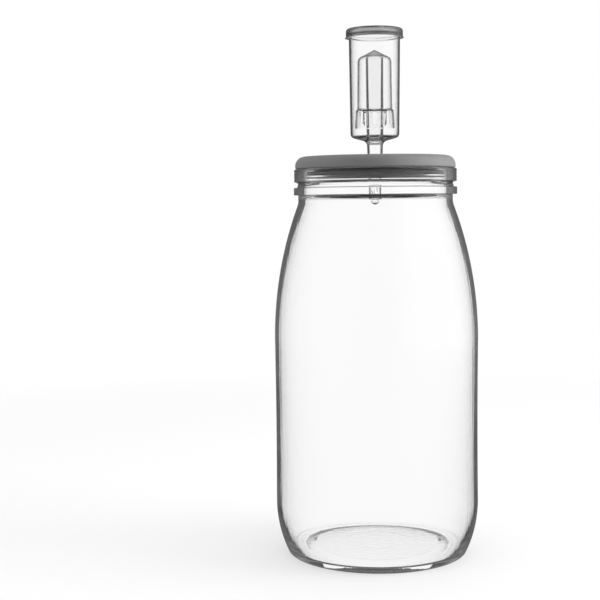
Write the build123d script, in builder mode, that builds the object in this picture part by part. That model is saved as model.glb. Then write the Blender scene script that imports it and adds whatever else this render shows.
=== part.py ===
from build123d import *

import os
from math import acos, asin, cos, degrees, sin, sqrt

# A fermentation jar: a glass jar, a silicone stopper lid and an airlock of three clear mouldings.
# Millimetres, +Z up. The origin is the centre of the base, on the surface that the jar stands on.
# Every piece is turned about the Z axis, so each is drawn as a half section: across, then up.

# Glass jar, body and base
jar_height = 259.0  # from the surface to the rim
body_diameter = 136.6
body_wall = 2.6
waist_depth = 0.3  # how far the side is drawn in at half height
heel_height = 35.4  # where the rounded heel meets the side
heel_radius = 79.0
toe_radius = 3.0  # from the heel into the resting ring
inner_toe_radius = 3.0
rest_width = 10.4  # of the resting ring, from the heel's corner inwards
rest_edge_round = 1.2
punt_rise = 1.8  # how far the base is pushed up round its raised middle
punt_slope_width = 7.0  # of the slope from the resting ring up to the raised middle
punt_round = 1.0
floor_crown = 1.0  # how far the raised middle stands higher at its centre than at its edge
floor_thickness = 2.9
disc_margin = 14.0  # of floor round the raised middle, out to the floor's corner
disc_step = 0.5  # from the floor round it up to its edge
disc_step_width = 1.0
disc_round = 0.4

# Glass jar, shoulder and finish
shoulder_radius = 255.0
neck_diameter = 103.2
neck_height = 5.4  # from the top of the shoulder to the lower ring
neck_round = 12.0
ring_diameter = 109.0
ring_height = 4.9
ring_round = 0.8
groove_diameter = 103.0
groove_height = 3.8
groove_round = 0.4
rim_diameter = 108.6
rim_height = 8.5
rim_round = 1.2
rim_under_round = 0.5
mouth_diameter = 94.6
mouth_round = 2.2
bore_depth = 24.0  # of the straight mouth, from the rim to the inner shoulder

# Stopper lid
rim_gap = 0.3  # between the flange and the rim
plug_clearance = 0.3  # between the plug and the mouth
flange_diameter = 107.0
flange_thickness = 8.0
lid_crown = 0.6  # how far the top falls from its centre to the edge
flange_round = 6.2
flange_edge_round = 0.8
seal_relief = 2.4  # how far the plug is set in above its sealing rib
seal_rise = 2.2  # from the flange down to the start of the rib
seal_slope = 1.0  # height of the rib's sloping upper side
seal_depth = 5.2  # from the flange down to the rib's lower side
seal_round = 0.7
plug_depth = 9.0  # of the whole plug below the flange
plug_step = 7.0  # how far the tapered end is set in from the rib
plug_end_diameter = 73.6
plug_end_round = 3.0
plug_wall = 5.0
pocket_depth = 12.5  # of the hollow under the lid
pocket_draft = 1.2  # how much narrower the hollow's walls stand at its roof
pocket_round = 1.5
boss_diameter = 23.0  # round the stem's hole
boss_round = 1.2
hole_chamfer = 0.6
stem_clearance = 0.3  # between the stem and its hole

# Airlock body
stem_exposed = 9.0  # from the lid to the chamber's bottom
stem_root_diameter = 10.7
stem_end_diameter = 8.5
stem_length = 36.3
stem_root_round = 3.5
tip_cone_height = 1.9
tip_neck_diameter = 2.8
tip_neck_length = 0.3
tip_bead_diameter = 5.6
vent_slot_width = 1.4
vent_slot_height = 4.0
vent_slot_rise = 1.6  # from the end of the stem to its slots
chamber_base_diameter = 32.5
chamber_top_diameter = 34.0
chamber_wall = 1.3
chamber_height = 70.3  # from the root of the stem to the chamber's rim
cone_rise = 3.1  # of the chamber's conical bottom
cone_round = 3.2
cone_inner_round = 1.5
chamber_edge_round = 0.4
tube_root_diameter = 11.2
tube_top_diameter = 11.7
tube_height = 56.4  # from the root of the stem to the tube's open top
tube_root_round = 1.0
bore_top_diameter = 9.1
bore_end_diameter = 6.5
bore_end_rise = 0.9  # from the end of the stem to the end of the bore
bore_cone_height = 1.8

# Airlock float
float_gap = 0.3  # between the float and the top of the tube
float_height = 51.9
float_top_diameter = 22.6
float_base_diameter = 23.4  # just above the step
float_wall = 1.0
float_cone_rise = 5.6
float_cone_thickness = 1.1
float_shoulder_round = 4.0
float_inner_round = 3.0
skirt_height = 12.0  # from the float's foot to the foot of the step
skirt_step_height = 1.0
skirt_top_diameter = 25.4
skirt_foot_diameter = 26.7
skirt_slot_count = 8
skirt_slot_width = 4.0
skirt_slot_height = 9.2
skirt_slot_rise = 2.6  # height of the closed ring under the slots

# Airlock cap
cap_gap = 0.3  # between the cap and the chamber, beside its rim and above it
cap_diameter = 37.8
cap_height = 6.0
cap_plate = 1.4
cap_overlap = 2.1  # how far the skirt reaches below the chamber's rim, with the gap
cap_ledge_width = 1.7  # of the ledge that rests on the rim
cap_round = 1.8
cap_inner_round = 0.8
cap_lip_width = 0.65
cap_lip_height = 0.7
cap_vent_count = 5
cap_vent_diameter = 1.6
cap_vent_circle = 18.0


def round_corners(section, radius, *corners):
    """Rounds the corners of a half section that lie at the given places."""
    spots = [section.vertices().sort_by_distance((across, up, 0))[0] for across, up in corners]
    fillet(spots, radius)


os.makedirs("parts", exist_ok=True)

# Places that the glass jar's profile shares
body_radius = body_diameter / 2
inner_radius = body_radius - body_wall
neck_radius = neck_diameter / 2
ring_radius = ring_diameter / 2
groove_radius = groove_diameter / 2
rim_radius = rim_diameter / 2
mouth_radius = mouth_diameter / 2

rim_bottom = jar_height - rim_height
ring_top = rim_bottom - groove_height
ring_bottom = ring_top - ring_height
shoulder_top = ring_bottom - neck_height

heel_angle = asin(heel_height / heel_radius)
heel_centre = body_radius - heel_radius
heel_corner = heel_centre + heel_radius * cos(heel_angle)
rest_inner_radius = heel_corner - rest_width
punt_radius = rest_inner_radius - punt_slope_width
punt_top = punt_rise + floor_crown
disc_edge = punt_rise + floor_thickness
disc_top = disc_edge + floor_crown
floor_height = disc_edge - disc_step
inner_heel_radius = heel_radius - body_wall
inner_heel_angle = asin((heel_height - floor_height) / inner_heel_radius)
floor_radius = heel_centre + inner_heel_radius * cos(inner_heel_angle)
disc_radius = floor_radius - disc_margin
shoulder_centre = body_radius - shoulder_radius
shoulder_angle = acos((neck_radius - shoulder_centre) / shoulder_radius)
shoulder_start = shoulder_top - shoulder_radius * sin(shoulder_angle)
waist_height = (heel_height + shoulder_start) / 2
bore_bottom = jar_height - bore_depth
drawn_in = inner_radius - mouth_radius
inner_shoulder_height = bore_bottom - shoulder_start
inner_shoulder_radius = (drawn_in**2 + inner_shoulder_height**2) / (2 * drawn_in)
inner_shoulder_angle = asin(inner_shoulder_height / inner_shoulder_radius)

# Glass jar: one half section, turned
with BuildPart() as glass_jar:
    with BuildSketch(Plane.XZ) as jar_section:
        with BuildLine():
            TangentArc((0, punt_top), (punt_radius, punt_rise), tangent=(1, 0))
            Polyline((punt_radius, punt_rise), (rest_inner_radius, 0), (heel_corner, 0))
            CenterArc(
                (heel_centre, heel_height),
                heel_radius,
                start_angle=-degrees(heel_angle),
                arc_size=degrees(heel_angle),
            )
            ThreePointArc(
                (body_radius, heel_height),
                (body_radius - waist_depth, waist_height),
                (body_radius, shoulder_start),
            )
            CenterArc(
                (shoulder_centre, shoulder_start),
                shoulder_radius,
                start_angle=0,
                arc_size=degrees(shoulder_angle),
            )
            Polyline(
                (neck_radius, shoulder_top),
                (neck_radius, ring_bottom),
                (ring_radius, ring_bottom),
                (ring_radius, ring_top),
                (groove_radius, ring_top),
                (groove_radius, rim_bottom),
                (rim_radius, rim_bottom),
                (rim_radius, jar_height),
                (mouth_radius, jar_height),
                (mouth_radius, bore_bottom),
            )
            CenterArc(
                (inner_radius - inner_shoulder_radius, shoulder_start),
                inner_shoulder_radius,
                start_angle=0,
                arc_size=degrees(inner_shoulder_angle),
            )
            ThreePointArc(
                (inner_radius, heel_height),
                (inner_radius - waist_depth, waist_height),
                (inner_radius, shoulder_start),
            )
            CenterArc(
                (heel_centre, heel_height),
                inner_heel_radius,
                start_angle=-degrees(inner_heel_angle),
                arc_size=degrees(inner_heel_angle),
            )
            Polyline(
                (floor_radius, floor_height),
                (disc_radius + disc_step_width, floor_height),
                (disc_radius, disc_edge),
            )
            TangentArc((0, disc_top), (disc_radius, disc_edge), tangent=(1, 0))
            Line((0, disc_top), (0, punt_top))
        make_face()
        round_corners(jar_section, punt_round, (punt_radius, punt_rise))
        round_corners(jar_section, rest_edge_round, (rest_inner_radius, 0))
        round_corners(jar_section, toe_radius, (heel_corner, 0))
        round_corners(jar_section, neck_round, (neck_radius, shoulder_top))
        round_corners(jar_section, ring_round, (ring_radius, ring_bottom), (ring_radius, ring_top))
        round_corners(jar_section, groove_round, (groove_radius, ring_top), (groove_radius, rim_bottom))
        round_corners(jar_section, rim_under_round, (rim_radius, rim_bottom))
        round_corners(jar_section, rim_round, (rim_radius, jar_height))
        round_corners(jar_section, mouth_round, (mouth_radius, jar_height))
        round_corners(jar_section, neck_round, (mouth_radius, bore_bottom))
        round_corners(jar_section, inner_toe_radius, (floor_radius, floor_height))
        round_corners(jar_section, disc_round, (disc_radius, disc_edge))
    revolve(axis=Axis.Z)

glass_jar.part.label = "glass_jar"
export_step(glass_jar.part, "parts/glass_jar.step")

# Places that the lid and the airlock share
flange_bottom = jar_height + rim_gap
lid_edge_top = flange_bottom + flange_thickness
lid_top = lid_edge_top + lid_crown
stem_root = lid_top + stem_exposed
stem_end = stem_root - stem_length


def stem_radius(up):
    """The stem's outer radius at a height: it tapers evenly from its root to its end."""
    share = (stem_root - up) / stem_length
    return (stem_root_diameter + (stem_end_diameter - stem_root_diameter) * share) / 2


# Stopper lid: the stem's tapered hole is cut from the half section, which is then turned
flange_radius = flange_diameter / 2
plug_radius = mouth_radius - plug_clearance
seal_top = flange_bottom - seal_rise
seal_bottom = flange_bottom - seal_depth
plug_bottom = flange_bottom - plug_depth
plug_end_radius = plug_end_diameter / 2
pocket_foot_radius = plug_end_radius - plug_wall
pocket_roof = plug_bottom + pocket_depth
boss_radius = boss_diameter / 2

with BuildPart() as stopper_lid:
    with BuildSketch(Plane.XZ) as lid_section:
        with BuildLine():
            TangentArc((0, lid_top), (flange_radius, lid_edge_top), tangent=(1, 0))
            Polyline(
                (flange_radius, lid_edge_top),
                (flange_radius, flange_bottom),
                (plug_radius - seal_relief, flange_bottom),
                (plug_radius - seal_relief, seal_top),
                (plug_radius, seal_top - seal_slope),
                (plug_radius, seal_bottom),
                (plug_radius - plug_step, seal_bottom),
                (plug_end_radius, plug_bottom),
                (pocket_foot_radius, plug_bottom),
                (pocket_foot_radius - pocket_draft, pocket_roof),
                (boss_radius + pocket_draft, pocket_roof),
                (boss_radius, plug_bottom),
                (0, plug_bottom),
                (0, lid_top),
            )
        make_face()
        round_corners(lid_section, flange_round, (flange_radius, lid_edge_top))
        round_corners(lid_section, flange_edge_round, (flange_radius, flange_bottom))
        round_corners(
            lid_section,
            seal_round,
            (plug_radius, seal_top - seal_slope),
            (plug_radius, seal_bottom),
        )
        round_corners(lid_section, plug_end_round, (plug_end_radius, plug_bottom))
        round_corners(
            lid_section,
            pocket_round,
            (pocket_foot_radius - pocket_draft, pocket_roof),
            (boss_radius + pocket_draft, pocket_roof),
        )
        round_corners(lid_section, boss_round, (boss_radius, plug_bottom))
        with BuildLine():
            Polyline(
                (0, plug_bottom),
                (stem_radius(plug_bottom) + stem_clearance, plug_bottom),
                (stem_radius(lid_top) + stem_clearance, lid_top - hole_chamfer),
                (stem_radius(lid_top) + stem_clearance + hole_chamfer, lid_top),
                (0, lid_top),
                close=True,
            )
        make_face(mode=Mode.SUBTRACT)
    revolve(axis=Axis.Z)

stopper_lid.part.label = "stopper_lid"
export_step(stopper_lid.part, "parts/stopper_lid.step")

# Airlock body: chamber, inner tube and stem in one moulding, with slots for the gas near the stem's end
chamber_rim = stem_root + chamber_height
chamber_corner = stem_root + cone_rise
tube_top = stem_root + tube_height
bore_end = stem_end + bore_end_rise
tip_neck_radius = tip_neck_diameter / 2
tip_bead_radius = tip_bead_diameter / 2
tip_neck_top = stem_end - tip_cone_height
tip_bead_angle = acos(tip_neck_radius / tip_bead_radius)
tip_bead_centre = tip_neck_top - tip_neck_length - tip_bead_radius * sin(tip_bead_angle)
chamber_base_radius = chamber_base_diameter / 2
chamber_top_radius = chamber_top_diameter / 2
cone_slope = cone_rise / (chamber_base_radius - stem_root_diameter / 2)
chamber_floor_corner = chamber_corner + chamber_wall - chamber_wall * cone_slope
tube_foot = chamber_corner + chamber_wall - (chamber_base_radius - tube_root_diameter / 2) * cone_slope

with BuildPart() as airlock_body:
    with BuildSketch(Plane.XZ) as body_section:
        with BuildLine():
            CenterArc(
                (0, tip_bead_centre),
                tip_bead_radius,
                start_angle=-90,
                arc_size=90 + degrees(tip_bead_angle),
            )
            Polyline(
                (tip_neck_radius, tip_neck_top - tip_neck_length),
                (tip_neck_radius, tip_neck_top),
                (stem_end_diameter / 2, stem_end),
                (stem_root_diameter / 2, stem_root),
                (chamber_base_radius, chamber_corner),
                (chamber_top_radius, chamber_rim),
                (chamber_top_radius - chamber_wall, chamber_rim),
                (chamber_base_radius - chamber_wall, chamber_floor_corner),
                (tube_root_diameter / 2, tube_foot),
                (tube_top_diameter / 2, tube_top),
                (bore_top_diameter / 2, tube_top),
                (bore_end_diameter / 2, bore_end),
                (0, bore_end - bore_cone_height),
                (0, tip_bead_centre - tip_bead_radius),
            )
        make_face()
        round_corners(body_section, stem_root_round, (stem_root_diameter / 2, stem_root))
        round_corners(body_section, cone_round, (chamber_base_radius, chamber_corner))
        round_corners(
            body_section,
            cone_inner_round,
            (chamber_base_radius - chamber_wall, chamber_floor_corner),
        )
        round_corners(body_section, tube_root_round, (tube_root_diameter / 2, tube_foot))
        round_corners(
            body_section,
            chamber_edge_round,
            (chamber_top_radius, chamber_rim),
            (chamber_top_radius - chamber_wall, chamber_rim),
            (tube_top_diameter / 2, tube_top),
            (bore_top_diameter / 2, tube_top),
        )
    revolve(axis=Axis.Z)
    with BuildSketch(Plane.XY.offset(stem_end + vent_slot_rise)):
        with PolarLocations(0, 2, angular_range=180):
            Rectangle(stem_root_diameter, vent_slot_width)
    extrude(amount=vent_slot_height, mode=Mode.SUBTRACT)

airlock_body.part.label = "airlock_body"
export_step(airlock_body.part, "parts/airlock_body.step")

# Airlock float: an inverted cup that hangs on the tube, with slots round its skirt
float_top_radius = float_top_diameter / 2
float_base_radius = float_base_diameter / 2
skirt_top_radius = skirt_top_diameter / 2
skirt_foot_radius = skirt_foot_diameter / 2
float_cone_slope = float_cone_rise / float_top_radius
float_apex = tube_top + float_gap + float_cone_thickness + float_cone_slope * tube_top_diameter / 2
float_corner = float_apex - float_cone_rise
float_roof_corner = float_corner - float_cone_thickness + float_wall * float_cone_slope
float_foot = float_apex - float_height
skirt_top = float_foot + skirt_height
step_top = skirt_top + skirt_step_height

with BuildPart() as airlock_float:
    with BuildSketch(Plane.XZ) as float_section:
        with BuildLine():
            Polyline(
                (0, float_apex),
                (float_top_radius, float_corner),
                (float_base_radius, step_top),
                (skirt_top_radius, skirt_top),
                (skirt_foot_radius, float_foot),
                (skirt_foot_radius - float_wall, float_foot),
                (skirt_top_radius - float_wall, skirt_top - float_wall),
                (float_base_radius - float_wall, step_top - float_wall),
                (float_top_radius - float_wall, float_roof_corner),
                (0, float_apex - float_cone_thickness),
                close=True,
            )
        make_face()
        round_corners(float_section, float_shoulder_round, (float_top_radius, float_corner))
        round_corners(float_section, float_inner_round, (float_top_radius - float_wall, float_roof_corner))
    revolve(axis=Axis.Z)
    with BuildSketch(Plane.XY.offset(float_foot + skirt_slot_rise)):
        with PolarLocations(skirt_foot_radius, skirt_slot_count):
            Rectangle(skirt_foot_radius, skirt_slot_width)
    extrude(amount=skirt_slot_height, mode=Mode.SUBTRACT)

airlock_float.part.label = "airlock_float"
export_step(airlock_float.part, "parts/airlock_float.step")

# Airlock cap: its ledge rests on the chamber's rim, its skirt goes round it and its plate has vents
cap_radius = cap_diameter / 2
cap_skirt_radius = chamber_top_radius + cap_gap
cap_ledge = chamber_rim + cap_gap
cap_foot = cap_ledge - cap_overlap
cap_top = cap_foot + cap_height
cap_roof = cap_top - cap_plate
cap_ledge_radius = cap_skirt_radius - cap_ledge_width

with BuildPart() as airlock_cap:
    with BuildSketch(Plane.XZ) as cap_section:
        with BuildLine():
            Polyline(
                (0, cap_top),
                (cap_radius, cap_top),
                (cap_radius, cap_foot + cap_lip_height),
                (cap_radius + cap_lip_width, cap_foot),
                (cap_skirt_radius, cap_foot),
                (cap_skirt_radius, cap_ledge),
                (cap_ledge_radius, cap_ledge),
                (cap_ledge_radius, cap_roof),
                (0, cap_roof),
                close=True,
            )
        make_face()
        round_corners(cap_section, cap_round, (cap_radius, cap_top))
        round_corners(cap_section, cap_inner_round, (cap_ledge_radius, cap_roof))
    revolve(axis=Axis.Z)
    with BuildSketch(Plane.XY.offset(cap_roof)):
        with PolarLocations(cap_vent_circle / 2, cap_vent_count):
            Circle(cap_vent_diameter / 2)
    extrude(amount=cap_plate, mode=Mode.SUBTRACT)

airlock_cap.part.label = "airlock_cap"
export_step(airlock_cap.part, "parts/airlock_cap.step")
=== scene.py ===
import math

import bpy
from mathutils import Matrix, Vector


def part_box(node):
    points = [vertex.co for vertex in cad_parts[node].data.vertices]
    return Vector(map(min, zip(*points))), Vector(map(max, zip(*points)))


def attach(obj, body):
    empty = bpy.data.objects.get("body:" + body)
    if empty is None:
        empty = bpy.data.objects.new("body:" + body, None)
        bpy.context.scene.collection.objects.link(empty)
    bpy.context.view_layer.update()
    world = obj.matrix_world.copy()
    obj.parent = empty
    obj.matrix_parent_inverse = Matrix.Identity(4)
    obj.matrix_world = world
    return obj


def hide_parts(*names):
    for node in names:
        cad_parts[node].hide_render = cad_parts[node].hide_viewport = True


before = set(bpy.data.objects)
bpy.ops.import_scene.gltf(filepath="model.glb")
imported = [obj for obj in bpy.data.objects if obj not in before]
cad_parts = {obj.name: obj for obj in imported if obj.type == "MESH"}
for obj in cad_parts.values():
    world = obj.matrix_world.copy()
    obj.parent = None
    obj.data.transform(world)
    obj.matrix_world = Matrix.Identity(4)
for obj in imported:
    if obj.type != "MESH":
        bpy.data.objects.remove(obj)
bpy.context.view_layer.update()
print("frame loaded:", ", ".join(sorted(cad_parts)))

scene = bpy.context.scene
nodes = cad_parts
mm = 0.001

# the default cube, lamp and camera go
for leftover in ("Cube", "Light", "Camera"):
    if leftover in bpy.data.objects:
        bpy.data.objects.remove(bpy.data.objects[leftover])


# Shader helpers

class Wire:  # one socket of a shader; sums and products of wires add their Math nodes
    def __init__(self, shader, socket):
        self.shader = shader
        self.socket = socket

    def math(self, operation, first, second=0.0):
        return self.shader.node("ShaderNodeMath", {"operation": operation}, {0: first, 1: second})[0]

    def __add__(self, other):
        return self.math("ADD", self, other)

    __radd__ = __add__

    def __mul__(self, other):
        return self.math("MULTIPLY", self, other)

    __rmul__ = __mul__

    def __sub__(self, other):
        return self.math("SUBTRACT", self, other)

    def __rsub__(self, other):
        return self.math("SUBTRACT", other, self)

    def __truediv__(self, other):
        return self.math("DIVIDE", self, other)

    def __mod__(self, other):
        return self.math("MODULO", self, other)

    def __pow__(self, other):
        return self.math("POWER", self, other)

    def __abs__(self):
        return self.math("ABSOLUTE", self)

    def larger(self, other):
        return self.math("MAXIMUM", self, other)

    def smaller(self, other):
        return self.math("MINIMUM", self, other)

    def between(self, start, end):  # 0 up to the start and 1 from the end on
        return ((self - start) / (end - start)).larger(0.0).smaller(1.0)


class Shader:  # the node tree of one material or of the world
    def __init__(self, owner):
        owner.use_nodes = True
        self.owner = owner
        self.tree = owner.node_tree
        self.tree.nodes.clear()

    def node(self, kind, settings=None, values=None):
        made = self.tree.nodes.new(kind)
        for name, value in (settings or {}).items():
            if name == "stops":
                self.setStops(made.color_ramp, value)
            else:
                setattr(made, name, value)
        for name, value in (values or {}).items():
            if isinstance(value, Wire):
                self.tree.links.new(value.socket, made.inputs[name])
            else:
                made.inputs[name].default_value = value
        return [Wire(self, socket) for socket in made.outputs]

    def setStops(self, ramp, stops):
        for place, colour in stops[2:]:
            ramp.elements.new(place)
        for element, (place, colour) in zip(ramp.elements, stops):
            element.position = place
            element.color = colour

    def finish(self, kind, surface):
        self.node(kind, None, {"Surface": surface})
        return self.owner


def grey(level):
    return (level, level, level, 1.0)


# Stage: white world and floor, soft lamps

stageLook = {
    "floorRadius": 3.0,
    "floorSides": 96,
    "floorColour": grey(0.86),
    "paperShare": 0.40,  # of the lit paper in what a camera sees close to the object
    "paperFade": 0.9,  # metres from the object where the floor is plain white
    "ambient": 0.55,
    "ambientRight": 0.25,  # how much more light comes from the right
    "whiteRise": 0.30,  # sine of the height up to which the backdrop behind the glass is white
    "darkRise": 0.62,  # and from which it is dark
    "darkLevel": 0.35,
    "frontMirrored": 0.2,  # what reflections see: a dim room with a tall soft panel on each side
    "rightPanel": 3.0,
    "leftPanel": 1.0,
    "panelEdge": 0.25,  # how far round to the side a panel starts
    "panelBlur": 0.5,
    "innerMirrored": 0.08,  # what reflections inside a clear wall see, so that edges stand out dark
    "innerHigh": 0.5,  # and what they see higher up
    "innerFrom": 0.20,  # sine of the height where it starts to rise
    "innerTo": 0.55,
    "floorMirrored": 0.15,  # what reflections on and inside a wall see of the floor close by
    "floorInner": 0.04,
    "floorNear": 0.10,  # metres from the object where the far floor starts to blend in
    "floorFar": 1.4,
    "wallFaces": 2.0,  # surfaces that a ray crosses in one clear wall
}


def raySorts(shader, look):  # how much of a ray comes straight, through a wall, or off its out- or inside
    path = shader.node("ShaderNodeLightPath")
    camera, glossy, transmission = path[0], path[3], path[6]
    scattered, reflections, crossings = path[10], path[11], path[13]  # diffuse, glossy, transmission depth
    unscattered = 1.0 - scattered.smaller(1.0)
    through = transmission * (1.0 - reflections.smaller(1.0)) * unscattered
    reflected = glossy.larger(transmission) * unscattered - through
    bothWalls = 2.0 * look["wallFaces"]
    inner = reflected * (crossings % bothWalls / look["wallFaces"]).smaller(1.0)
    beyond = (reflected - inner) * (crossings / bothWalls).smaller(1.0)  # off something behind the walls
    return camera, through + beyond, reflected - inner - beyond, inner


def studioLight(look, right, back):  # what a reflection sees in one direction
    opening = 1.0 - back.larger(0.0) ** 2.0
    panelEnd = look["panelEdge"] + look["panelBlur"]
    rightShare = right.between(look["panelEdge"], panelEnd)
    leftShare = (-1.0 * right).between(look["panelEdge"], panelEnd)
    panels = (rightShare * look["rightPanel"] + leftShare * look["leftPanel"]) * opening * opening
    return panels + look["frontMirrored"]


def makeWorld(look):
    world = bpy.data.worlds.new("studioWorld")
    shader = Shader(world)
    camera, through, outer, inner = raySorts(shader, look)
    direction = shader.node("ShaderNodeTexCoord")[0]
    right, back, rise = shader.node("ShaderNodeSeparateXYZ", None, {0: direction})
    fade = rise.between(look["darkRise"], look["whiteRise"])
    backdrop = fade * (1.0 - look["darkLevel"]) + look["darkLevel"]
    outerLight = studioLight(look, right, back)
    higher = rise.between(look["innerFrom"], look["innerTo"])
    innerLight = higher * (look["innerHigh"] - look["innerMirrored"]) + look["innerMirrored"]
    lit = (1.0 - camera - through - outer - inner) * (right * look["ambientRight"] + look["ambient"])
    strength = camera + through * backdrop + outer * outerLight + inner * innerLight + lit
    values = {"Color": grey(1.0), "Strength": strength}
    shader.finish("ShaderNodeOutputWorld", shader.node("ShaderNodeBackground", None, values)[0])
    scene.world = world


def makeFloor(look):
    bpy.ops.mesh.primitive_circle_add(
        vertices=look["floorSides"], radius=look["floorRadius"], fill_type="NGON")
    floor = bpy.context.object
    floor.name = "floor"
    shader = Shader(bpy.data.materials.new("floorPaper"))
    camera, through, outer, inner = raySorts(shader, look)
    place = shader.node("ShaderNodeTexCoord")[3]
    away = shader.node("ShaderNodeVectorMath", {"operation": "LENGTH"}, {0: place})[1]
    near = away.between(look["paperFade"], 0.0)
    whiteShare = camera * (1.0 - near.smaller(look["paperShare"])) + through + outer + inner
    direction = shader.node("ShaderNodeVectorMath", {"operation": "NORMALIZE"}, {0: place})[0]
    right, back = shader.node("ShaderNodeSeparateXYZ", None, {0: direction})[:2]
    far = away.between(look["floorNear"], look["floorFar"])
    outerLight = (studioLight(look, right, back) - look["floorMirrored"]) * far + look["floorMirrored"]
    innerLight = (look["innerMirrored"] - look["floorInner"]) * far + look["floorInner"]
    strength = camera.larger(through) + outer * outerLight + inner * innerLight
    paper = shader.node("ShaderNodeBsdfDiffuse", None, {"Color": look["floorColour"]})[0]
    white = shader.node("ShaderNodeEmission", None, {"Color": grey(1.0), "Strength": strength})[0]
    mixed = shader.node("ShaderNodeMixShader", None, {0: whiteShare, 1: paper, 2: white})[0]
    shader.finish("ShaderNodeOutputMaterial", mixed)
    floor.data.materials.append(shader.owner)


lamps = {
    "overhead": {"place": (0.0, 0.1, 1.5), "size": 1.4, "power": 12.0},
    "right": {"place": (1.3, -0.15, 0.5), "size": 0.9, "power": 16.0},
    "left": {"place": (-1.3, -0.8, 0.6), "size": 0.9, "power": 4.0},
}
lampTarget = Vector((0.0, 0.0, 0.15))  # near the middle of the object


def makeLamps():
    for name, lamp in lamps.items():
        bpy.ops.object.light_add(type="AREA", location=lamp["place"])
        made = bpy.context.object
        made.name = name + "Lamp"
        made.data.shape = "SQUARE"
        made.data.size = lamp["size"]
        made.data.energy = lamp["power"]
        made.visible_glossy = False  # reflections see the world's soft light instead
        made.visible_transmission = False
        aim = lampTarget - made.location
        made.rotation_euler = aim.to_track_quat("-Z", "Y").to_euler()


makeWorld(stageLook)
makeFloor(stageLook)
makeLamps()
print("stage made")


# Camera, at the photograph's viewing angle

view = {
    "place": (0.0, -0.86, 0.2403),
    "lens": 76.62,
    "sensor": 36.0,
    "turn": 3.41,  # degrees to the left
    "tilt": 4.58,  # degrees down
    "roll": -0.6,
    "bounces": 32,  # many clear walls stand one behind another
    "mirrorBounces": 16,
}


def makeCamera(v):
    data = bpy.data.cameras.new("photoCamera")
    data.lens = v["lens"]
    data.sensor_width = v["sensor"]
    camera = bpy.data.objects.new("photoCamera", data)
    scene.collection.objects.link(camera)
    turned = Matrix.Rotation(math.radians(v["turn"]), 4, "Z")
    tilted = Matrix.Rotation(math.radians(90 - v["tilt"]), 4, "X")
    rolled = Matrix.Rotation(math.radians(v["roll"]), 4, "Z")
    camera.matrix_world = Matrix.Translation(v["place"]) @ turned @ tilted @ rolled
    scene.camera = camera
    scene.view_settings.view_transform = "Standard"
    scene.cycles.max_bounces = v["bounces"]
    scene.cycles.transmission_bounces = v["bounces"]
    scene.cycles.transparent_max_bounces = v["bounces"]
    scene.cycles.glossy_bounces = v["mirrorBounces"]


makeCamera(view)
print("camera made")


# Outlines that are spun into round pieces: across and up, in millimetres

straight = 179.5  # degrees from which a corner is too flat to round
weldGap = 0.002  # millimetres within which points become one


def arc(across, up, radius, start, end, steps):  # start and end are in degrees
    turns = [math.radians(start + (end - start) * step / steps) for step in range(steps + 1)]
    return [(across + radius * math.cos(turn), up + radius * math.sin(turn), 0.0) for turn in turns]


def line(start, end, steps):  # the points between the two ends
    shares = [step / steps for step in range(1, steps)]
    return [tuple(a + (b - a) * share for a, b in zip(start, end)) + (0.0,) for share in shares]


def rounded(corners, finest):  # every corner is (across, up, radius); finest is degrees per step
    points = []
    for before, corner, after in zip(corners, corners[1:], corners[2:]):
        radius = corner[2]
        here = Vector(corner[:2])
        back = (Vector(before[:2]) - here).normalized()
        on = (Vector(after[:2]) - here).normalized()
        inside = back.angle(on)
        if radius == 0.0 or inside > math.radians(straight):
            points.append(here)
            continue
        reach = radius / math.tan(inside / 2)
        middle = here + (back + on).normalized() * (radius / math.sin(inside / 2))
        first = here + back * reach - middle
        sweep = math.pi - inside
        if first.x * on.y - first.y * on.x < 0:
            sweep = -sweep
        steps = max(2, math.ceil(abs(math.degrees(sweep)) / finest))
        for step in range(steps + 1):
            points.append(middle + Matrix.Rotation(sweep * step / steps, 2) @ first)
    return [Vector(corners[0][:2])] + points + [Vector(corners[-1][:2])]


def spinOutline(name, outline, steps):
    bpy.ops.object.select_all(action="DESELECT")
    bpy.ops.mesh.primitive_plane_add(size=mm, location=(0, 0, 0))
    piece = bpy.context.object
    piece.name = name
    piece.data.name = name
    bpy.ops.object.mode_set(mode="EDIT")
    bpy.ops.mesh.select_all(action="SELECT")
    bpy.ops.mesh.merge(type="CENTER")
    last = Vector((0, 0))
    for number, point in enumerate(outline):
        step = (point - last) * mm
        move = (step.x, 0, step.y)
        if number == 0:
            bpy.ops.transform.translate(value=move)
        else:
            bpy.ops.mesh.extrude_region_move(TRANSFORM_OT_translate={"value": move})
        last = point
    bpy.ops.mesh.select_all(action="SELECT")
    bpy.ops.mesh.spin(steps=steps, angle=math.tau, center=(0, 0, 0), axis=(0, 0, 1))
    bpy.ops.mesh.select_all(action="SELECT")
    bpy.ops.mesh.remove_doubles(threshold=weldGap * mm)
    bpy.ops.mesh.normals_make_consistent(inside=False)
    bpy.ops.object.mode_set(mode="OBJECT")
    return piece


# Glass jar, in millimetres

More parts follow.
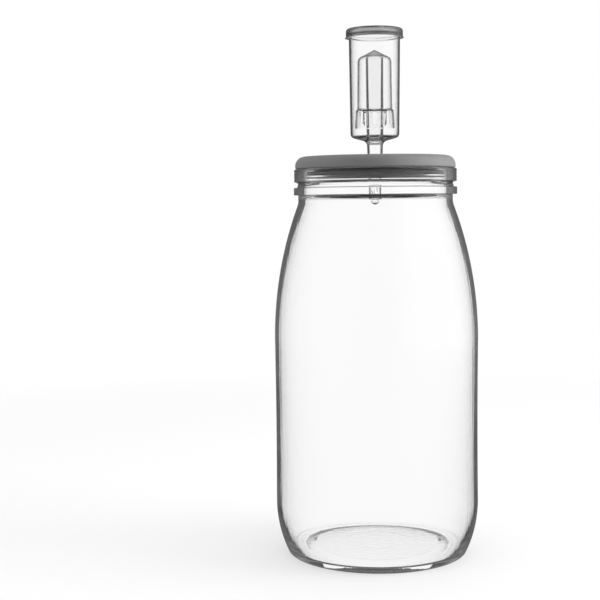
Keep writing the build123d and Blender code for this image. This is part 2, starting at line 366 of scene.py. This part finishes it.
jar = {
    "steps": 256,  # round the axis
    "finest": 7.5,  # degrees per step in the rounded corners
    "bodyRadius": 68.3,
    "wall": 2.6,
    "waist": 0.3,  # how far the side is drawn in at half height
    "waistSteps": 12,
    "heelHeight": 35.4,
    "heelRadius": 79.0,
    "heelTrim": 3.5,  # degrees that the heel's arc leaves to the rounded toe
    "heelSteps": 24,
    "innerHeelRadius": 62.0,
    "innerHeelSteps": 22,
    "toeRadius": 3.0,
    "ringWidth": 10.4,  # of the resting ring
    "ringRound": 1.2,
    "ringInset": 1.0,
    "ringSteps": 6,
    "puntSlope": 7.0,
    "puntRise": 1.8,
    "puntCrown": 1.0,
    "puntRound": 1.0,
    "crownRound": 60.0,
    "floorThickness": 2.9,
    "discMargin": 12.0,  # of floor round the raised middle
    "discStep": 0.5,
    "discOuter": 3.0,  # how far outside the raised middle its soft edge starts
    "discInner": 2.0,  # and how far inside it ends
    "discRound": 3.0,
    "innerToe": 3.0,
    "shoulderRadius": 255.0,
    "shoulderTrim": 2.0,  # degrees that the shoulder's arc leaves to the rounded neck
    "shoulderSteps": 28,
    "innerTrim": 3.0,  # degrees that the inner arcs leave to the rounded corners
    "neckRadius": 51.6,
    "neckHeight": 5.4,
    "neckRound": 12.0,
    "lowerRing": 54.5,
    "lowerRingHeight": 4.9,
    "lowerRingRound": 0.5,
    "grooveRadius": 51.5,
    "grooveHeight": 3.8,
    "grooveRound": 0.4,
    "rimRadius": 54.3,
    "rimHeight": 8.5,
    "rimRound": 1.2,
    "rimUnder": 0.5,
    "ridges": 3,  # shallow rings round the rim
    "ridgeStart": 0.8,
    "ridgePitch": 2.1,
    "ridgeDepth": 0.22,
    "ridgeSteps": 8,
    "mouthRadius": 47.3,
    "mouthRound": 2.2,
    "boreDepth": 24.0,
    "top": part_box("glass_jar")[1].z / mm,
}


def jarOutline(j):
    # places on the outside, from the heel up to the rim and down again to the shoulder
    body = j["bodyRadius"]
    inner = body - j["wall"]
    heelTurn = math.degrees(math.asin(j["heelHeight"] / j["heelRadius"]))
    heelCentre = body - j["heelRadius"]
    heelCorner = heelCentre + j["heelRadius"] * math.cos(math.radians(heelTurn))
    ringInner = heelCorner - j["ringWidth"]
    rimBottom = j["top"] - j["rimHeight"]
    ringTop = rimBottom - j["grooveHeight"]
    ringBottom = ringTop - j["lowerRingHeight"]
    shoulderTop = ringBottom - j["neckHeight"]
    shoulder = j["shoulderRadius"]
    shoulderCentre = body - shoulder
    shoulderTurn = math.degrees(math.acos((j["neckRadius"] - shoulderCentre) / shoulder))
    shoulderStart = shoulderTop - shoulder * math.sin(math.radians(shoulderTurn))

    # places on the inside and on the pushed-up base
    boreBottom = j["top"] - j["boreDepth"]
    drawnIn = inner - j["mouthRadius"]
    innerShoulder = (drawnIn ** 2 + (boreBottom - shoulderStart) ** 2) / (2 * drawnIn)
    innerTurn = math.degrees(math.acos(1 - drawnIn / innerShoulder))
    puntRadius = ringInner - j["puntSlope"]
    puntTop = j["puntRise"] + j["puntCrown"]
    discEdge = j["puntRise"] + j["floorThickness"]
    discTop = discEdge + j["puntCrown"]
    floorHeight = discEdge - j["discStep"]
    innerHeel = j["innerHeelRadius"]
    innerHeelTurn = math.degrees(math.asin((j["heelHeight"] - floorHeight) / innerHeel))
    innerCorner = inner - innerHeel + innerHeel * math.cos(math.radians(innerHeelTurn))
    discRadius = innerCorner - j["discMargin"]

    halfWay = 0.5
    halfWayFall = j["puntCrown"] * halfWay ** 2  # a crown falls with the square of the way out
    waistSpan = shoulderStart - j["heelHeight"]
    waistShares = [step / j["waistSteps"] for step in range(1, j["waistSteps"])]

    def waisted(radius, share):
        return (radius - j["waist"] * math.sin(math.pi * share), j["heelHeight"] + waistSpan * share, 0.0)

    corners = [
        (0.0, puntTop, 0.0),
        (puntRadius * halfWay, puntTop - halfWayFall, j["crownRound"]),
        (puntRadius, j["puntRise"], j["puntRound"]),
        (ringInner, 0.0, j["ringRound"]),
    ]
    ringEnds = (ringInner + j["ringInset"], 0.0), (heelCorner - j["toeRadius"], 0.0)
    corners += line(*ringEnds, j["ringSteps"])
    corners += [(heelCorner, 0.0, j["toeRadius"])]
    heelStart = j["heelTrim"] - heelTurn
    corners += arc(heelCentre, j["heelHeight"], j["heelRadius"], heelStart, 0.0, j["heelSteps"])
    corners += [waisted(body, share) for share in waistShares]
    shoulderEnd = shoulderTurn - j["shoulderTrim"]
    corners += arc(shoulderCentre, shoulderStart, shoulder, 0.0, shoulderEnd, j["shoulderSteps"])
    corners += [
        (j["neckRadius"], shoulderTop, j["neckRound"]),
        (j["neckRadius"], ringBottom, 0.0),
        (j["lowerRing"], ringBottom, j["lowerRingRound"]),
        (j["lowerRing"], ringTop, j["lowerRingRound"]),
        (j["grooveRadius"], ringTop, j["grooveRound"]),
        (j["grooveRadius"], rimBottom, j["grooveRound"]),
        (j["rimRadius"], rimBottom, j["rimUnder"]),
    ]
    for step in range(j["ridges"] * j["ridgeSteps"] + 1):
        turns = step / j["ridgeSteps"]
        dip = j["ridgeDepth"] * (1.0 - math.cos(math.tau * turns)) / 2
        rise = j["ridgeStart"] + j["ridgePitch"] * turns
        corners.append((j["rimRadius"] - dip, rimBottom + rise, 0.0))
    corners += [
        (j["rimRadius"], j["top"], j["rimRound"]),
        (j["mouthRadius"], j["top"], j["mouthRound"]),
        (j["mouthRadius"], boreBottom, j["neckRound"]),
    ]
    innerCentre = inner - innerShoulder
    innerStart = innerTurn - j["innerTrim"]
    corners += arc(innerCentre, shoulderStart, innerShoulder, innerStart, 0.0, j["shoulderSteps"])
    corners += [waisted(inner, share) for share in reversed(waistShares)]
    innerEnd = j["innerTrim"] - innerHeelTurn
    corners += arc(inner - innerHeel, j["heelHeight"], innerHeel, 0.0, innerEnd, j["innerHeelSteps"])
    corners += [
        (innerCorner, floorHeight, j["innerToe"]),
        (discRadius + j["discOuter"], floorHeight, j["discRound"]),
        (discRadius - j["discInner"], discEdge, j["discRound"]),
        (discRadius * halfWay, discTop - halfWayFall, j["crownRound"]),
        (0.0, discTop, 0.0),
    ]
    return rounded(corners, j["finest"])


def makeJar(j):
    piece = spinOutline("jarGlass", jarOutline(j), j["steps"])
    bpy.ops.object.shade_smooth()
    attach(piece, "jar")
    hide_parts("glass_jar")
    print("jar spun:", len(piece.data.polygons), "faces")
    return piece


jarPiece = makeJar(jar)


# Clear glass and clear plastic

glassLook = {
    "ior": 1.51,
    "roughness": 0.0,
    "mirror": grey(0.3),
    "inner": grey(0.99),
    "upward": 0.0,
    # painted shade: colours by how slanted an outer face is seen, a little darker towards the outline
    "stops": [
        (0.40, (0.995, 0.995, 0.995, 1.0)),
        (0.80, (0.97, 0.975, 0.975, 1.0)),
    ],
    "streaks": (260.0, 260.0, 16.0),  # how often the drawn waves come, per metre, on each axis
    "streakDepth": 0.00005,
    "stippleScale": 900.0,
    "stippleDepth": 0.00015,
    "stippleTop": 0.0012,  # metres up from the resting face
    "seamWidth": 0.0004,
    "seamDepth": 0.00006,
    "seamFrom": 0.008,  # metres up, and the height over which it fades in
    "seamFadeIn": 0.002,
    "seamTo": 0.225,
    "seamFadeOut": 0.01,
}

plasticLook = {
    "ior": 1.49,
    "roughness": 0.0,
    "mirror": grey(0.15),
    "inner": grey(0.985),
    "upward": 1.0,  # how far the faces that look up darken towards the edge too, with the painted edge shade
    # painted shade: colours by how slanted an outer face is seen, dark towards the outline
    "stops": [
        (0.26, grey(0.97)),
        (0.40, grey(0.80)),
        (0.54, grey(0.42)),
        (0.75, grey(0.10)),
    ],
    "streaks": (900.0, 900.0, 30.0),
    "streakDepth": 0.000008,
}

capLook = {
    "ior": 1.49,
    "roughness": 0.18,
    "mirror": grey(0.3),
    "inner": grey(0.95),
    "upward": 0.05,
    # painted shade: colours by how slanted an outer face is seen, dark towards the outline
    "stops": [
        (0.20, grey(0.95)),
        (0.30, grey(0.75)),
        (0.39, grey(0.45)),
        (0.55, grey(0.22)),
        (0.90, grey(0.10)),
    ],
    "streaks": (500.0, 500.0, 60.0),
    "streakDepth": 0.00001,
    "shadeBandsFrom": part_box("airlock_cap")[0].z,  # painted shade: darker rings by height, where the thicker rings of the moulding look darker in the light
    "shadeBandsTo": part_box("airlock_cap")[1].z,
    # painted shade: how dark each ring of the cap is painted, from its foot to its top
    "shadeBands": [
        (0.00, grey(0.35)),
        (0.16, grey(0.45)),
        (0.24, grey(0.14)),
        (0.38, grey(0.14)),
        (0.46, grey(0.62)),
        (0.80, grey(0.80)),
        (0.90, grey(0.35)),
        (1.00, grey(0.30)),
    ],
}

outwardTurn = 0.2  # how far a face turns outwards before it has the full painted edge shade
waveDetail = 2.0


def paintedEdgeShade(shader, look, place, height):  # painted shade: darker where an outer face is seen at a slant, standing in for the dark rims that refraction gives a clear wall
    facing = shader.node("ShaderNodeLayerWeight", None, {"Blend": 0.5})[1]
    normal = shader.node("ShaderNodeNewGeometry")[1]
    multiply = {"operation": "MULTIPLY"}
    flat = shader.node("ShaderNodeVectorMath", multiply, {0: place, 1: (1.0, 1.0, 0.0)})[0]
    away = shader.node("ShaderNodeVectorMath", {"operation": "NORMALIZE"}, {0: flat})[0]
    outward = shader.node("ShaderNodeVectorMath", {"operation": "DOT_PRODUCT"}, {0: normal, 1: away})[1]
    upward = shader.node("ShaderNodeSeparateXYZ", None, {0: normal})[2].larger(0.0) * look["upward"]
    outer = (outward + upward).between(0.0, outwardTurn)
    # painted shade: the colour darkens as the face is seen more at a slant
    edgeShade = shader.node("ShaderNodeValToRGB", {"stops": look["stops"]}, {"Fac": facing})[0]
    # painted shade: rings of darker colour by height, multiplied into the edge shade
    if "shadeBands" in look:
        share = (height - look["shadeBandsFrom"]) / (look["shadeBandsTo"] - look["shadeBandsFrom"])
        shadeBands = shader.node("ShaderNodeValToRGB", {"stops": look["shadeBands"]}, {"Fac": share})[0]
        settings = {"data_type": "RGBA", "blend_type": "MULTIPLY"}
        edgeShade = shader.node("ShaderNodeMix", settings, {0: 1.0, 6: edgeShade, 7: shadeBands})[2]
    return shader.node("ShaderNodeMix", {"data_type": "RGBA"}, {0: outer, 6: look["inner"], 7: edgeShade})[2]


def surfaceRelief(shader, look, place, along, height):  # streaks, and on glass the stipple and the seams
    waves = shader.node("ShaderNodeVectorMath", {"operation": "MULTIPLY"}, {0: place, 1: look["streaks"]})[0]
    values = {"Vector": waves, "Scale": 1.0, "Detail": waveDetail}
    relief = shader.node("ShaderNodeTexNoise", None, values)[0] * look["streakDepth"]
    if "stippleScale" in look:
        dots = shader.node("ShaderNodeTexVoronoi", None, {"Vector": place, "Scale": look["stippleScale"]})[0]
        low = height.between(look["stippleTop"], 0.0)
        relief = relief + dots * low * look["stippleDepth"]
        seam = abs(along).between(look["seamWidth"], 0.0)
        below = height.between(look["seamTo"], look["seamTo"] - look["seamFadeOut"])
        above = height.between(look["seamFrom"], look["seamFrom"] + look["seamFadeIn"])
        relief = relief + seam * below * above * look["seamDepth"]
    return relief


def clearMaterial(name, look):
    shader = Shader(bpy.data.materials.new(name))
    place = shader.node("ShaderNodeTexCoord")[3]
    along, height = shader.node("ShaderNodeSeparateXYZ", None, {0: place})[1:]
    relief = surfaceRelief(shader, look, place, along, height)
    bump = shader.node("ShaderNodeBump", None, {"Strength": 1.0, "Distance": 1.0, "Height": relief})[0]
    values = {
        # the base colour carries the painted edge shade
        "Base Color": paintedEdgeShade(shader, look, place, height),
        "Transmission Weight": 1.0,
        "Roughness": look["roughness"],
        "Normal": bump,
        "IOR": look["ior"],
        "Specular Tint": look["mirror"],
    }
    surface = shader.node("ShaderNodeBsdfPrincipled", None, values)[0]
    return shader.finish("ShaderNodeOutputMaterial", surface)


# Silicone of the stopper lid

siliconeLook = {
    "light": (0.150, 0.151, 0.155, 1.0),
    "dark": (0.120, 0.121, 0.124, 1.0),
    "cloudScale": 38.0,
    "cloudDetail": 4.0,
    "roughness": 0.46,
    "roughnessChange": 0.10,
    "grainScale": 1500.0,
    "grainDetail": 2.0,
    "grainStrength": 0.5,
    "grainDepth": 0.00004,
    "sheen": 0.15,
    "sheenRoughness": 0.5,
}


def siliconeMaterial(look):
    shader = Shader(bpy.data.materials.new("greySilicone"))
    place = shader.node("ShaderNodeTexCoord")[3]
    values = {"Vector": place, "Scale": look["cloudScale"], "Detail": look["cloudDetail"]}
    cloud = shader.node("ShaderNodeTexNoise", None, values)[0]
    values = {"Vector": place, "Scale": look["grainScale"], "Detail": look["grainDetail"]}
    grain = shader.node("ShaderNodeTexNoise", None, values)[0]
    values = {"Strength": look["grainStrength"], "Distance": look["grainDepth"], "Height": grain}
    bump = shader.node("ShaderNodeBump", None, values)[0]
    values = {0: cloud, 6: look["dark"], 7: look["light"]}
    colour = shader.node("ShaderNodeMix", {"data_type": "RGBA"}, values)[2]
    values = {
        "Base Color": colour,
        "Roughness": look["roughness"] + (cloud - 0.5) * look["roughnessChange"],  # noise centres on 0.5
        "Normal": bump,
        "Sheen Weight": look["sheen"],
        "Sheen Roughness": look["sheenRoughness"],
    }
    surface = shader.node("ShaderNodeBsdfPrincipled", None, values)[0]
    return shader.finish("ShaderNodeOutputMaterial", surface)


def dress(name, material):
    for slot in nodes[name].material_slots:
        slot.material = material


plastic = clearMaterial("clearPlastic", plasticLook)
jarPiece.data.materials.append(clearMaterial("clearGlass", glassLook))
dress("stopper_lid", siliconeMaterial(siliconeLook))
dress("airlock_body", plastic)
dress("airlock_float", plastic)
dress("airlock_cap", clearMaterial("capPlastic", capLook))
print("materials made")
